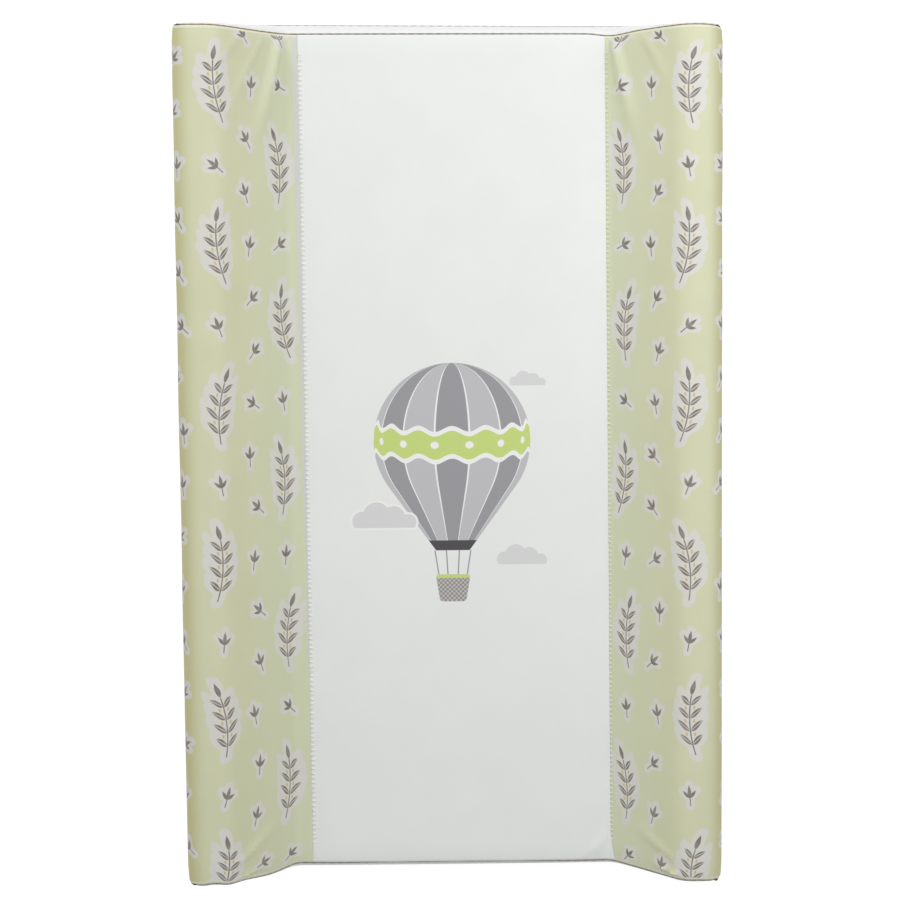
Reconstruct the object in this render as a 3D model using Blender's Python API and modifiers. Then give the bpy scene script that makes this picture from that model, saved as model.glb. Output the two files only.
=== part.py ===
"""Hard changing pad: a stiff board, a foam slab and two foam wedges inside a sewn cover.

The pad lies on its back. X runs across it, Y runs from the foot end to the head end, and Z points up,
out of the lying surface. The origin is on the underside, below the middle. Sizes are in metres.
"""

import math

import bmesh
import bpy
from mathutils import Vector

# Overall size of the finished pad
PAD_LENGTH = 0.800
PAD_WIDTH = 0.500
PAD_HEIGHT = 0.094

# Lying surface between the two long seams
CENTRE_WIDTH = 0.286
CENTRE_HEIGHT = 0.0235
CENTRE_CROWN = 0.002

# Section of a bolster, from the long seam outwards
FOOT_MARGIN = 0.0075
FOOT_RADIUS = 0.012
CREST_RADIUS = 0.025
CREST_INSET = 0.027
EDGE_RADIUS = 0.0195
WALL_DRAW = 0.002

# How the sewn ends pull the soft form in
SEAM_SINK = 0.0025
SEAM_REACH = 0.024
END_DRAW = 0.002
CENTRE_RECESS = 0.005

# Sheet, board and foam
SHEET_THICKNESS = 0.0008
BOARD_THICKNESS = 0.003
BOARD_MARGIN = 0.004
BOARD_CORNER = 0.015
BACK_CORNER = 0.009
CLEARANCE = 0.0003

# Counts of facets
FOOT_STEPS = 4
CREST_STEPS = 7
EDGE_STEPS = 7
CORNER_STEPS = 6

# Places of the cross sections and rows, as shares of the sizes that they follow
ACROSS_SHARES = (0.0, 0.2, 0.4, 0.6, 0.8, 0.93, 1.0)
SLOPE_SHARES = (0.33, 0.67)
STRAIGHT_SHARES = (-0.75, -0.5, -0.25, 0.0, 0.25, 0.5, 0.75)
ROLL_SHARES = (1.0, 0.7, 0.45, 0.25, 0.1, 0.0)
RISE_SHARES = (0.0, 0.25, 0.5, 0.72, 0.88, 1.0)

# Places that follow from the sizes above
HALF_WIDTH = PAD_WIDTH / 2
HALF_LENGTH = PAD_LENGTH / 2
SEAM_X = CENTRE_WIDTH / 2
CREST_X = HALF_WIDTH - CREST_INSET
SKIN_DEPTH = SHEET_THICKNESS + CLEARANCE
COVER_FLOOR = SKIN_DEPTH
BOARD_FLOOR = SKIN_DEPTH
SLAB_FLOOR = BOARD_FLOOR + BOARD_THICKNESS + CLEARANCE
SLAB_TOP = CENTRE_HEIGHT - SKIN_DEPTH
WEDGE_FLOOR = SLAB_TOP + CLEARANCE
STRAIGHT_HALF = HALF_LENGTH - END_DRAW - CENTRE_RECESS - SEAM_REACH

SMOOTH_ANGLE = math.radians(40)
QUARTER_TURN = math.pi / 2


# Section of the cover

def arc(centre, radius, start, end, steps):
    """Points on a circle from one angle to another, both included."""
    angles = [start + (end - start) * step / steps for step in range(steps + 1)]
    return [centre + radius * Vector((math.cos(angle), math.sin(angle))) for angle in angles]


def foot_line():
    """The flat strip beside the long seam and the hollow where it turns up into the slope."""
    slope = slope_angle()
    turn_x = SEAM_X + FOOT_MARGIN - FOOT_RADIUS * math.tan(slope / 2)
    centre = Vector((max(turn_x, SEAM_X + CLEARANCE), CENTRE_HEIGHT + FOOT_RADIUS))
    hollow = arc(centre, FOOT_RADIUS, -QUARTER_TURN, slope - QUARTER_TURN, FOOT_STEPS)
    return [Vector((SEAM_X + CLEARANCE / 2, CENTRE_HEIGHT)), *hollow]


def slope_angle():
    """Angle of the slope that leaves the foot and touches the round crest."""
    rise = PAD_HEIGHT - CREST_RADIUS - CENTRE_HEIGHT
    run = CREST_X - SEAM_X - FOOT_MARGIN
    return math.atan2(rise, run) + math.asin(CREST_RADIUS / math.hypot(rise, run))


def crest_line():
    """The round crest and the rounded outer edge."""
    edge_radius = min(EDGE_RADIUS, CREST_INSET)
    crest_centre = Vector((CREST_X, PAD_HEIGHT - CREST_RADIUS))
    edge_centre = Vector((HALF_WIDTH - edge_radius, PAD_HEIGHT - edge_radius))
    crest = arc(crest_centre, CREST_RADIUS, QUARTER_TURN + slope_angle(), QUARTER_TURN, CREST_STEPS)
    edge = arc(edge_centre, edge_radius, QUARTER_TURN, 0, EDGE_STEPS)
    return crest + edge


def wall_line(top):
    """The outer wall below the rounded edge, pulled in towards its lower seam."""
    levels = ((top + WEDGE_FLOOR) / 2, WEDGE_FLOOR, COVER_FLOOR)
    shares = [(top - level) / (top - COVER_FLOOR) for level in levels]
    return [Vector((HALF_WIDTH - WALL_DRAW * share**2, level)) for share, level in zip(shares, levels)]


def offset_line(line, distance):
    """The line moved inwards, with mitred corners so that the two stay parallel."""
    normals = []
    for start, end in zip(line, line[1:]):
        along = (end - start).normalized()
        normals.append(Vector((-along.y, along.x)))
    moved = []
    for point, before, after in zip(line, normals[:1] + normals, normals + normals[-1:]):
        moved.append(point - distance * (before + after) / (1 + before.dot(after)))
    return moved


FOOT_LINE = foot_line()
CREST_LINE = crest_line()
SLOPE_LINE = [FOOT_LINE[-1].lerp(CREST_LINE[0], share) for share in SLOPE_SHARES]
WALL_LINE = wall_line(CREST_LINE[-1].y)
SIDE_LINE = FOOT_LINE + SLOPE_LINE + CREST_LINE + WALL_LINE
WEDGE_START = len(FOOT_LINE) - 1
WALL_START = len(SIDE_LINE) - len(WALL_LINE)
WALL_TOP = CREST_LINE[-1].y


def crown(x):
    """Rise of the lying surface above its long seams: nearly flat, and rounded off beside them."""
    return CENTRE_CROWN * (1 - (x / SEAM_X) ** 4)


# Form of the sewn ends

def end_face(x, rise_share):
    """Y of the head end's outer surface, at a distance from the middle and a share of the height there."""
    climb = min(max((x - SEAM_X) / (CREST_X - SEAM_X), 0), 1)
    recess = END_DRAW + CENTRE_RECESS * (1 - climb**2 * (3 - 2 * climb))
    to_corner = min(max(1 - (HALF_WIDTH - SEAM_SINK - x) / SEAM_REACH, 0), 1)
    return HALF_LENGTH - recess * rise_share**2 - END_DRAW * to_corner**2


def side_rise_shares():
    """For each point of the side's section, its height as a share of the cover's height at that place."""
    wall_shares = [(point.y - COVER_FLOOR) / (WALL_TOP - COVER_FLOOR) for point in WALL_LINE]
    return [1] * WALL_START + wall_shares


def stations():
    """Cross sections from foot to head, each a share of the straight length and of the roll at the end."""
    foot = [(-1, roll) for roll in reversed(ROLL_SHARES)]
    head = [(1, roll) for roll in ROLL_SHARES]
    return foot + [(share, 1) for share in STRAIGHT_SHARES] + head


def station_y(station, end_y):
    along, roll = station
    return along * (STRAIGHT_HALF + (1 - roll) * (end_y - STRAIGHT_HALF))


def station_sink(station):
    return SEAM_SINK * (1 - station[1]) ** 2


# Making objects

def clear_scene():
    for obj in list(bpy.data.objects):
        bpy.data.objects.remove(obj, do_unlink=True)


def make_material(name, colour, roughness, sheen):
    material = bpy.data.materials.new(name)
    material.use_nodes = True
    surface = material.node_tree.nodes["Principled BSDF"]
    surface.inputs["Base Color"].default_value = (*colour, 1)
    surface.inputs["Roughness"].default_value = roughness
    surface.inputs["Metallic"].default_value = 0
    surface.inputs["Sheen Weight"].default_value = sheen
    material.diffuse_color = (*colour, 1)
    return material


def add_object(name, shape, material):
    """Turns a finished bmesh into an object of the pad."""
    mesh = bpy.data.meshes.new(name)
    shape.to_mesh(mesh)
    shape.free()
    mesh.materials.append(material)
    mesh.shade_smooth()
    mesh.set_sharp_from_angle(angle=SMOOTH_ANGLE)
    obj = bpy.data.objects.new(name, mesh)
    parts.objects.link(obj)
    obj.parent = pad_origin
    return obj


def skin_over(shape, rows, closed):
    """Lays quads between neighbouring rows of points, which are cross sections of the same count."""
    grid = [[shape.verts.new(point) for point in row] for row in rows]
    count = len(rows[0])
    for row, following in zip(grid, grid[1:]):
        for index in range(count if closed else count - 1):
            beside = (index + 1) % count
            shape.faces.new((row[index], row[beside], following[beside], following[index]))
    return grid


def make_sheet(name, rows, facing, material):
    """A cover panel: an open surface whose outer side faces a direction, thickened inwards."""
    shape = bmesh.new()
    skin_over(shape, rows, closed=False)
    shape.normal_update()
    outward = sum((face.normal * face.calc_area() for face in shape.faces), Vector())
    if outward.dot(Vector(facing)) < 0:
        bmesh.ops.reverse_faces(shape, faces=shape.faces)
    obj = add_object(name, shape, material)
    thickness = obj.modifiers.new("sheet thickness", "SOLIDIFY")
    thickness.thickness = SHEET_THICKNESS
    thickness.offset = -1
    thickness.use_even_offset = True
    thickness.use_quality_normals = True
    return obj


def make_foam(name, loops, material):
    """A foam block lofted through closed cross sections, with a face at each end."""
    shape = bmesh.new()
    grid = skin_over(shape, loops, closed=True)
    shape.faces.new(grid[0])
    shape.faces.new(grid[-1])
    bmesh.ops.recalc_face_normals(shape, faces=shape.faces)
    return add_object(name, shape, material)


def make_plate(name, half_width, half_length, floor, thickness, corner, material):
    """A flat plate with rounded corners in plan, lying at a height."""
    shape = bmesh.new()
    bmesh.ops.create_cube(shape, size=1)
    bmesh.ops.scale(shape, vec=(2 * half_width, 2 * half_length, thickness), verts=shape.verts)
    upright = [edge for edge in shape.edges if edge.verts[0].co.xy == edge.verts[1].co.xy]
    bmesh.ops.bevel(shape, geom=upright, offset=corner, segments=CORNER_STEPS, profile=0.5, affect="EDGES")
    obj = add_object(name, shape, material)
    obj.location = (0, 0, floor + thickness / 2)
    return obj


# Pieces inside the cover

def make_base_board():
    """Hardboard that keeps the pad stiff."""
    half_width = HALF_WIDTH - WALL_DRAW - SHEET_THICKNESS - BOARD_MARGIN
    half_length = HALF_LENGTH - SHEET_THICKNESS - BOARD_MARGIN
    make_plate("base_board", half_width, half_length, BOARD_FLOOR, BOARD_THICKNESS, BOARD_CORNER, hardboard)


def make_foam_slab():
    """Full-width slab on the board, crowned between the long seams and flat below the wedges."""
    loops = []
    for station in stations():
        sink = station_sink(station)
        wall = offset_line(SIDE_LINE, sink + SKIN_DEPTH)[-2:]
        lower, upper = wall[1].x, wall[0].x
        half = [Vector((0, SLAB_FLOOR)), Vector((lower, SLAB_FLOOR)), Vector((upper, SLAB_TOP - sink))]
        half += [
            Vector((share * SEAM_X, SLAB_TOP + crown(share * SEAM_X) - sink))
            for share in reversed(ACROSS_SHARES)
        ]
        loop = []
        for side, points in ((1, half), (-1, half[-2:0:-1])):
            for point in points:
                rise = 1 if point.y > SLAB_FLOOR else SLAB_FLOOR / SLAB_TOP
                end_y = end_face(point.x, rise) - 2 * SKIN_DEPTH
                loop.append((side * point.x, station_y(station, end_y), point.y))
        loops.append(loop)
    make_foam("foam_slab", loops, slab_foam)


def make_bolster_foam(name, side):
    """Foam wedge that stands on the slab, cut to the slope, the crest and the rounded edge."""
    loops = []
    for station in stations():
        sink = station_sink(station)
        section = offset_line(SIDE_LINE, sink + SKIN_DEPTH)[WEDGE_START:-1]
        floor = WEDGE_FLOOR - sink
        section[-1] = Vector((section[-1].x, floor))
        section.append(Vector((section[0].x, floor)))
        rises = side_rise_shares()[WEDGE_START:-1] + [1]
        loop = []
        for point, rise in zip(section, rises):
            end_y = end_face(point.x, rise) - 2 * SKIN_DEPTH
            loop.append((side * point.x, station_y(station, end_y), point.y))
        loops.append(loop)
    make_foam(name, loops, bolster_foam)


# Panels of the cover

def make_centre_panel():
    """White lying surface, crowned between its long seams and rolled down at both ends."""
    half_width = SEAM_X - CLEARANCE / 2
    across = [-share for share in reversed(ACROSS_SHARES)] + list(ACROSS_SHARES[1:])
    rows = []
    for station in stations():
        row = []
        for share in across:
            x = share * half_width
            z = CENTRE_HEIGHT + crown(x) - station_sink(station)
            end_y = end_face(abs(x), 1) - SKIN_DEPTH
            row.append((x, station_y(station, end_y), z))
        rows.append(row)
    make_sheet("centre_panel", rows, (0, 0, 1), white_sheet)


def make_side_panel(name, side):
    """Green panel over one bolster, from the long seam over the crest to the bottom of the wall."""
    rows = []
    for station in stations():
        row = []
        for point, rise in zip(offset_line(SIDE_LINE, station_sink(station)), side_rise_shares()):
            end_y = end_face(point.x, rise) - SKIN_DEPTH
            row.append((side * point.x, station_y(station, end_y), point.y))
        rows.append(row)
    make_sheet(name, rows, (side, 0, 1), green_sheet)


def make_end_panel(name, end):
    """White end of the cover. Its upper edge follows the section of the pad, like a wide U."""
    rolled = offset_line(SIDE_LINE, SEAM_SINK)
    slope_tops = rolled[:WALL_START]
    across = [share * SEAM_X for share in ACROSS_SHARES[:-1]]
    tops = [Vector((x, CENTRE_HEIGHT + crown(x) - SEAM_SINK)) for x in across] + slope_tops
    outer_x = tops[-1].x
    rows = []
    for share in RISE_SHARES:
        draw = WALL_DRAW * (1 - share) ** 2
        half = []
        for top in tops:
            x = top.x - draw * max(top.x - CREST_X, 0) / (outer_x - CREST_X)
            z = COVER_FLOOR + share * (top.y - COVER_FLOOR)
            half.append((x, end_face(x, share), z))
        row = [(-x, end * y, z) for x, y, z in reversed(half[1:])]
        row += [(x, end * y, z) for x, y, z in half]
        rows.append(row)
    make_sheet(name, rows, (0, end, 0), white_sheet)


def make_back_panel():
    """Flat white underside, on which the pad rests."""
    make_plate(
        "back_panel", HALF_WIDTH - WALL_DRAW, HALF_LENGTH, 0, SHEET_THICKNESS, BACK_CORNER, back_sheet
    )


clear_scene()
parts = bpy.data.collections.new("hard_changing_pad")
bpy.context.scene.collection.children.link(parts)
pad_origin = bpy.data.objects.new("pad_origin", None)
parts.objects.link(pad_origin)

hardboard = make_material("hardboard", (0.24, 0.13, 0.065), 0.75, 0)
slab_foam = make_material("slab_foam", (0.80, 0.78, 0.66), 0.95, 0.1)
bolster_foam = make_material("bolster_foam", (0.74, 0.76, 0.80), 0.95, 0.1)
white_sheet = make_material("white_coated_fabric", (0.83, 0.82, 0.80), 0.45, 0.05)
green_sheet = make_material("green_coated_fabric", (0.56, 0.61, 0.39), 0.42, 0.05)
back_sheet = make_material("white_backing_fabric", (0.78, 0.77, 0.75), 0.55, 0.05)

make_back_panel()
make_base_board()
make_foam_slab()
make_bolster_foam("left_bolster_foam", -1)
make_bolster_foam("right_bolster_foam", 1)
make_centre_panel()
make_side_panel("left_side_panel", -1)
make_side_panel("right_side_panel", 1)
make_end_panel("head_end_panel", 1)
make_end_panel("foot_end_panel", -1)
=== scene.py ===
import math

import bmesh
import bpy
import numpy as np
from mathutils import Matrix, Vector, noise


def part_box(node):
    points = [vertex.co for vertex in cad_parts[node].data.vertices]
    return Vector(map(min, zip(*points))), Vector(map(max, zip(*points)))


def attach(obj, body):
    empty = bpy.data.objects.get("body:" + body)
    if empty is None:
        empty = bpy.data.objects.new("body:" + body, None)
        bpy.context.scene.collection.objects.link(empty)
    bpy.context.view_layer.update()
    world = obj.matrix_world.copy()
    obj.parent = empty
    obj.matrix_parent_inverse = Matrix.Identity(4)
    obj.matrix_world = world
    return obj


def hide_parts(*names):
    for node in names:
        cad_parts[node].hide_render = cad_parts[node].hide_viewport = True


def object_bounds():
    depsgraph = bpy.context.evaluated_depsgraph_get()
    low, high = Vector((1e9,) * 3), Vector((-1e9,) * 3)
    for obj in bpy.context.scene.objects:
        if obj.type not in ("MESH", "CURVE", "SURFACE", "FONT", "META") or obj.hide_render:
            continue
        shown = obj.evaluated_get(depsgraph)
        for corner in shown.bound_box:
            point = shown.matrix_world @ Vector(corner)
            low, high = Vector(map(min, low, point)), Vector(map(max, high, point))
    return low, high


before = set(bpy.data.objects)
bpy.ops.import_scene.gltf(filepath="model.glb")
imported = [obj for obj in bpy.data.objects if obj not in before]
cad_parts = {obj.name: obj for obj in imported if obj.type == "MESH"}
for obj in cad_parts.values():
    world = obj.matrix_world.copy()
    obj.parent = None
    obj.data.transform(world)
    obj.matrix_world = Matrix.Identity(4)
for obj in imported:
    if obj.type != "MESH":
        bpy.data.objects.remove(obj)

cad_low, cad_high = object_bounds()


# Base board
# A 3 mm sheet of hardboard, pressed from wood fibre, lies in the bottom of the cover and keeps the
# pad stiff. Its faces are smooth and brown, flecked with fibres, and its corners are rounded off.

BOARD_BROWN = (0.17, 0.088, 0.042, 1)
BOARD_TAN = (0.33, 0.19, 0.1, 1)
BOARD_CLOUD = (0.2, 0.11, 0.055, 1)
BOARD_CLOUD_SIZE = 0.03
BOARD_CLOUD_SPAN = (0.35, 0.75)
BOARD_CLOUD_SHARE = 0.35
BOARD_DULL = (0.55, 0.75)
FIBRE_SIZE = 0.0012
FIBRE_SQUEEZE = (1, 0.2, 1)
FIBRE_DETAIL = 6
FIBRE_RELIEF = (0.3, 0.0002)
NOISE_SPAN = (0.3, 0.7)


class Measure:
    """What a node works out for each point of a surface. The signs + - * and / add more nodes."""

    def __init__(self, tree, output):
        self.tree = tree
        self.output = output

    def __add__(self, other):
        return calc("ADD", self, other)

    def __sub__(self, other):
        return calc("SUBTRACT", self, other)

    def __rsub__(self, other):
        return calc("SUBTRACT", other, self)

    def __mul__(self, other):
        return calc("MULTIPLY", self, other)

    def __truediv__(self, other):
        return calc("DIVIDE", self, other)

    def __neg__(self):
        return calc("MULTIPLY", self, -1.0)

    def __abs__(self):
        return calc("ABSOLUTE", self)

    def feed(self, socket):
        """Joins this result to an input."""
        self.tree.links.new(self.output, socket)


def add_node(tree, kind, feeds=None, **settings):
    """Adds a node, sets it, and feeds its inputs with plain values or with measures."""
    node = tree.nodes.new("ShaderNode" + kind)
    for name, value in settings.items():
        setattr(node, name, value)
    for socket, feed in (feeds or {}).items():
        if isinstance(feed, Measure):
            feed.feed(node.inputs[socket])
        else:
            node.inputs[socket].default_value = feed
    return node


def reading(tree, kind, output, feeds=None, **settings):
    """Adds a node and gives one of its outputs."""
    return Measure(tree, add_node(tree, kind, feeds, **settings).outputs[output])


def calc(operation, *feeds):
    """The result of one sum on measures and plain numbers."""
    tree = next(feed.tree for feed in feeds if isinstance(feed, Measure))
    return reading(tree, "Math", 0, dict(enumerate(feeds)), operation=operation)


def fade(value, start, end, low=0.0, high=1.0):
    """A soft step from low to high while the value goes from start to end."""
    feeds = {"Value": value, "From Min": start, "From Max": end, "To Min": low, "To Max": high}
    return reading(value.tree, "MapRange", 0, feeds, interpolation_type="SMOOTHSTEP")


def dye(share, under, over):
    """The colour under, covered by the colour over where the share is 1."""
    feeds = {0: share, 6: under, 7: over}
    return reading(share.tree, "Mix", 2, feeds, data_type="RGBA", clamp_factor=True)


def speckle(place, size, detail=2.0):
    """Noise from 0 to 1 whose grains have about the given size in metres."""
    feeds = {"Vector": place, "Scale": 1 / size, "Detail": detail, "Roughness": 0.5}
    return reading(place.tree, "TexNoise", "Fac", feeds)


def object_place(tree):
    """The place on the finished piece, in metres."""
    return reading(tree, "TexCoord", "Object")


def new_finish(name):
    """A material, its node tree and its surface shader."""
    finish = bpy.data.materials.new(name)
    finish.use_nodes = True
    return finish, finish.node_tree, finish.node_tree.nodes["Principled BSDF"]


def relief(surface, height, strength, depth=1.0):
    """Lets a height show as relief on the surface, on top of any relief that is there."""
    tree = height.tree
    bump = add_node(tree, "Bump", {"Height": height, "Strength": strength, "Distance": depth})
    for link in surface.inputs["Normal"].links:
        tree.links.new(link.from_socket, bump.inputs["Normal"])
    tree.links.new(bump.outputs["Normal"], surface.inputs["Normal"])


def give_finish(piece, finish):
    piece.data.materials.clear()
    piece.data.materials.append(finish)


def hardboard_finish():
    finish, tree, surface = new_finish("hardboard")
    place = object_place(tree)
    squeezed = reading(tree, "Mapping", 0, {"Vector": place, "Scale": FIBRE_SQUEEZE})
    fibres = speckle(squeezed, FIBRE_SIZE, FIBRE_DETAIL)
    clouds = fade(speckle(place, BOARD_CLOUD_SIZE), *BOARD_CLOUD_SPAN, high=BOARD_CLOUD_SHARE)
    tone = dye(clouds, dye(fibres, BOARD_BROWN, BOARD_TAN), BOARD_CLOUD)
    tone.feed(surface.inputs["Base Color"])
    fade(fibres, *NOISE_SPAN, *BOARD_DULL).feed(surface.inputs["Roughness"])
    relief(surface, fibres, *FIBRE_RELIEF)
    return finish


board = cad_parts["base_board"]
give_finish(board, hardboard_finish())


# Foam slab and wedges
# A slab of soft polyurethane foam lies on the board, and two wedges cut from firmer foam are glued
# along its long sides. The cut faces show fine open cells, and the cut edges are slightly eased.

SLAB_FOAM = ((0.8, 0.77, 0.64, 1), (0.62, 0.58, 0.44, 1))
WEDGE_FOAM = ((0.72, 0.75, 0.8, 1), (0.5, 0.54, 0.62, 1))
FOAM_CELLS_PER_METRE = 900.0
FOAM_PORE_SPAN = (0.15, 0.6)
FOAM_RELIEF = (0.6, 0.0005)
FOAM_CLOUD_SIZE = 0.02
FOAM_CLOUD_SPAN = (0.4, 0.8)
FOAM_CLOUD_SHARE = 0.3
FOAM_DULL = (0.88, 0.98)
FOAM_SHEEN = 0.2
EASED_EDGE = 0.0012
EASED_STEPS = 2
EASED_FROM_ANGLE = math.radians(40)
FOAM_SMOOTH_ANGLE = math.radians(35)
MERGE = 0.00001


def foam_finish(name, colour, shade):
    finish, tree, surface = new_finish(name)
    place = object_place(tree)
    feeds = {"Vector": place, "Scale": FOAM_CELLS_PER_METRE}
    pores = fade(reading(tree, "TexVoronoi", "Distance", feeds, feature="F1"), *FOAM_PORE_SPAN)
    clouds = speckle(place, FOAM_CLOUD_SIZE)
    clouded = fade(clouds, *FOAM_CLOUD_SPAN, high=FOAM_CLOUD_SHARE)
    dye(clouded, dye(pores, shade, colour), shade).feed(surface.inputs["Base Color"])
    fade(clouds, *NOISE_SPAN, *FOAM_DULL).feed(surface.inputs["Roughness"])
    surface.inputs["Sheen Weight"].default_value = FOAM_SHEEN
    relief(surface, pores, *FOAM_RELIEF)
    return finish


def pick(piece):
    """Makes one object the only selected one."""
    bpy.ops.object.select_all(action="DESELECT")
    piece.select_set(True)
    bpy.context.view_layer.objects.active = piece


def cut_foam(name, node, finish):
    """A foam block of its solid's form, with the cut edges eased."""
    block = bpy.data.objects.new(name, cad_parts[node].data.copy())
    bpy.context.scene.collection.objects.link(block)
    pick(block)
    bpy.ops.object.mode_set(mode="EDIT")
    bpy.ops.mesh.select_all(action="SELECT")
    bpy.ops.mesh.remove_doubles(threshold=MERGE)
    bpy.ops.mesh.tris_convert_to_quads()
    bpy.ops.object.mode_set(mode="OBJECT")
    eased = block.modifiers.new("eased edges", "BEVEL")
    eased.width = EASED_EDGE
    eased.segments = EASED_STEPS
    eased.angle_limit = EASED_FROM_ANGLE
    bpy.ops.object.modifier_apply(modifier=eased.name)
    bpy.ops.object.shade_smooth_by_angle(angle=FOAM_SMOOTH_ANGLE)
    give_finish(block, finish)
    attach(block, "root")
    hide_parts(node)
    return block


slab_finish = foam_finish("slab_foam", *SLAB_FOAM)
wedge_finish = foam_finish("bolster_foam", *WEDGE_FOAM)
lying_foam = cut_foam("lying_foam", "foam_slab", slab_finish)
left_wedge = cut_foam("left_wedge_foam", "left_bolster_foam", wedge_finish)
right_wedge = cut_foam("right_wedge_foam", "right_bolster_foam", wedge_finish)


# Form of the sewn cover
# The cover is cut from flat cloth, sewn inside out, turned and pulled tight over the foam. Its top
# follows the foam in one line, from wall to wall, and every panel is a stretch of that line.

SEWN_GAP = 0.00015
CROWN = 0.002
CROWN_POWER = 4
TOE_MARGIN = 0.0075
TOE_RADIUS = 0.012
CREST_RADIUS = 0.025
CREST_INSET = 0.027
EDGE_RADIUS = 0.0195
WALL_DRAW = 0.002
COVER_FLOOR = 0.0011
LYING_POINTS = 80
BEND_POINTS = 60
WALL_POINTS = 40
LINE_POINTS = 1200
HALF_WIDTH = cad_high.x
HALF_LENGTH = cad_high.y
PAD_HEIGHT = cad_high.z
SEAM_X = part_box("centre_panel")[1].x + SEWN_GAP
LYING_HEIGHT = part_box("centre_panel")[1].z - CROWN
CREST_X = HALF_WIDTH - CREST_INSET
WALL_TOP = PAD_HEIGHT - EDGE_RADIUS
QUARTER = math.pi / 2

slope_rise = PAD_HEIGHT - CREST_RADIUS - LYING_HEIGHT
slope_run = CREST_X - SEAM_X - TOE_MARGIN
SLOPE = math.atan2(slope_rise, slope_run) + math.asin(CREST_RADIUS / math.hypot(slope_rise, slope_run))


def bend(centre_x, centre_z, radius, start, end):
    """Points on a round stretch of the cover's line."""
    angles = np.linspace(start, end, BEND_POINTS)
    return np.stack([centre_x + radius * np.cos(angles), centre_z + radius * np.sin(angles)], 1)


def cover_line():
    """Half of the cover's line: from the middle over the toe, the slope and the crest to the floor."""
    across = np.linspace(0, SEAM_X, LYING_POINTS)
    lying = np.stack([across, LYING_HEIGHT + CROWN * (1 - (across / SEAM_X) ** CROWN_POWER)], 1)
    toe_x = SEAM_X + TOE_MARGIN - TOE_RADIUS * math.tan(SLOPE / 2)
    toe = bend(toe_x, LYING_HEIGHT + TOE_RADIUS, TOE_RADIUS, -QUARTER, SLOPE - QUARTER)
    crest = bend(CREST_X, PAD_HEIGHT - CREST_RADIUS, CREST_RADIUS, QUARTER + SLOPE, QUARTER)
    edge = bend(HALF_WIDTH - EDGE_RADIUS, WALL_TOP, EDGE_RADIUS, QUARTER, 0)
    levels = np.linspace(WALL_TOP, COVER_FLOOR, WALL_POINTS)
    drawn = WALL_DRAW * ((WALL_TOP - levels) / (WALL_TOP - COVER_FLOOR)) ** 2
    wall = np.stack([HALF_WIDTH - drawn, levels], 1)
    line = np.concatenate([lying, toe[1:], crest, edge[1:], wall[1:]])
    steps = np.hypot(*np.diff(line, axis=0).T)
    along = np.concatenate([[0], np.cumsum(steps)])
    places = np.linspace(0, along[-1], LINE_POINTS)
    return places, np.interp(places, along, line[:, 0]), np.interp(places, along, line[:, 1])


line_places, line_x, line_z = cover_line()
slant_x = np.gradient(line_x, line_places)
slant_z = np.gradient(line_z, line_places)
LINE_END = line_places[-1]
WALL_PLACE = LINE_END - (WALL_TOP - COVER_FLOOR)


def on_line(place):
    """Where a place on the cover's line lies, which way is out there, and its share of the height."""
    away = np.abs(place)
    side = np.sign(place)
    x = side * np.interp(away, line_places, line_x)
    z = np.interp(away, line_places, line_z)
    out_x = side * -np.interp(away, line_places, slant_z)
    out_z = np.interp(away, line_places, slant_x)
    share = np.clip((z - COVER_FLOOR) / (WALL_TOP - COVER_FLOOR), 0, 1)
    return x, z, out_x, out_z, np.where(away < WALL_PLACE, 1, share)


# Sewn ends
# The end panels are cut a little short, so they pull the cover in between the bolsters and round
# off its corners. The foot end is pulled in less, and its right corner most.
# END_SWELLS has an end, the middle, half width and height of each swelling of its seam.

END_DRAW = 0.002
HOLLOW = {1: 0.0052, -1: 0.0017}
ASKEW = {1: 0.0008, -1: -0.0005}
SKEW = {1: -0.0016, -1: 0.0008}
HEM_SHIFT = {1: -0.0005, -1: 0.0}
HEM_SKEW = {1: -0.0026, -1: 0.0}
CORNER_REACH = 0.024
CORNER_DRAW = {(-1, 1): 0.0, (1, 1): 0.002, (-1, -1): -0.0012, (1, -1): -0.001}
SOFT_SINK = 0.0012
SOFT_REACH = 0.024
END_ROLL = 0.0018
SEAM_ROLL = 0.0003
HEM_ROLL = 0.0009
SPREAD = {-1: (0.0015, 0.0004), 1: (0.0004, -0.0005)}
END_SWELLS = ((-1, -0.174, 0.028, 0.0026), (-1, -0.224, 0.014, -0.0014), (1, 0.152, 0.024, -0.0018))


def spread(x, along, share):
    """The foam presses the long sides out a little. Gives the places across with that added."""
    side = np.where(x < 0, -1, 1)
    middle = np.where(x < 0, SPREAD[-1][0], SPREAD[1][0])
    more = np.where(x < 0, SPREAD[-1][1], SPREAD[1][1])
    near_wall = np.clip((np.abs(x) - CREST_X) / CREST_INSET, 0, 1)
    return x + side * (middle + more * along / HALF_LENGTH) * near_wall * share


def hem_askew(x, end):
    """How far the bottom edge of an end lies outside its straight line."""
    return HEM_SHIFT[end] + HEM_SKEW[end] * x / HALF_WIDTH


def end_reach(x, share, end):
    """How far from the middle the outside of an end panel lies."""
    away = np.abs(x)
    climb = np.clip((away - SEAM_X) / (CREST_X - SEAM_X), 0, 1)
    hollow = END_DRAW + HOLLOW[end] * (1 - climb**2 * (3 - 2 * climb))
    corner = np.clip(1 - (HALF_WIDTH - away) / CORNER_REACH, 0, 1) ** 2
    drawn = np.where(x < 0, CORNER_DRAW[-1, end], CORNER_DRAW[1, end]) * share
    askew = ASKEW[end] + SKEW[end] * x / HALF_WIDTH
    for swollen_end, middle, half, out in END_SWELLS:
        if swollen_end == end:
            askew = askew + out * np.cos(np.clip(np.abs(x - middle) / half, 0, 1) * QUARTER) ** 2
    askew = askew * share + hem_askew(x, end) * (1 - share)
    return HALF_LENGTH - hollow * share**2 - drawn * corner + askew


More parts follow.
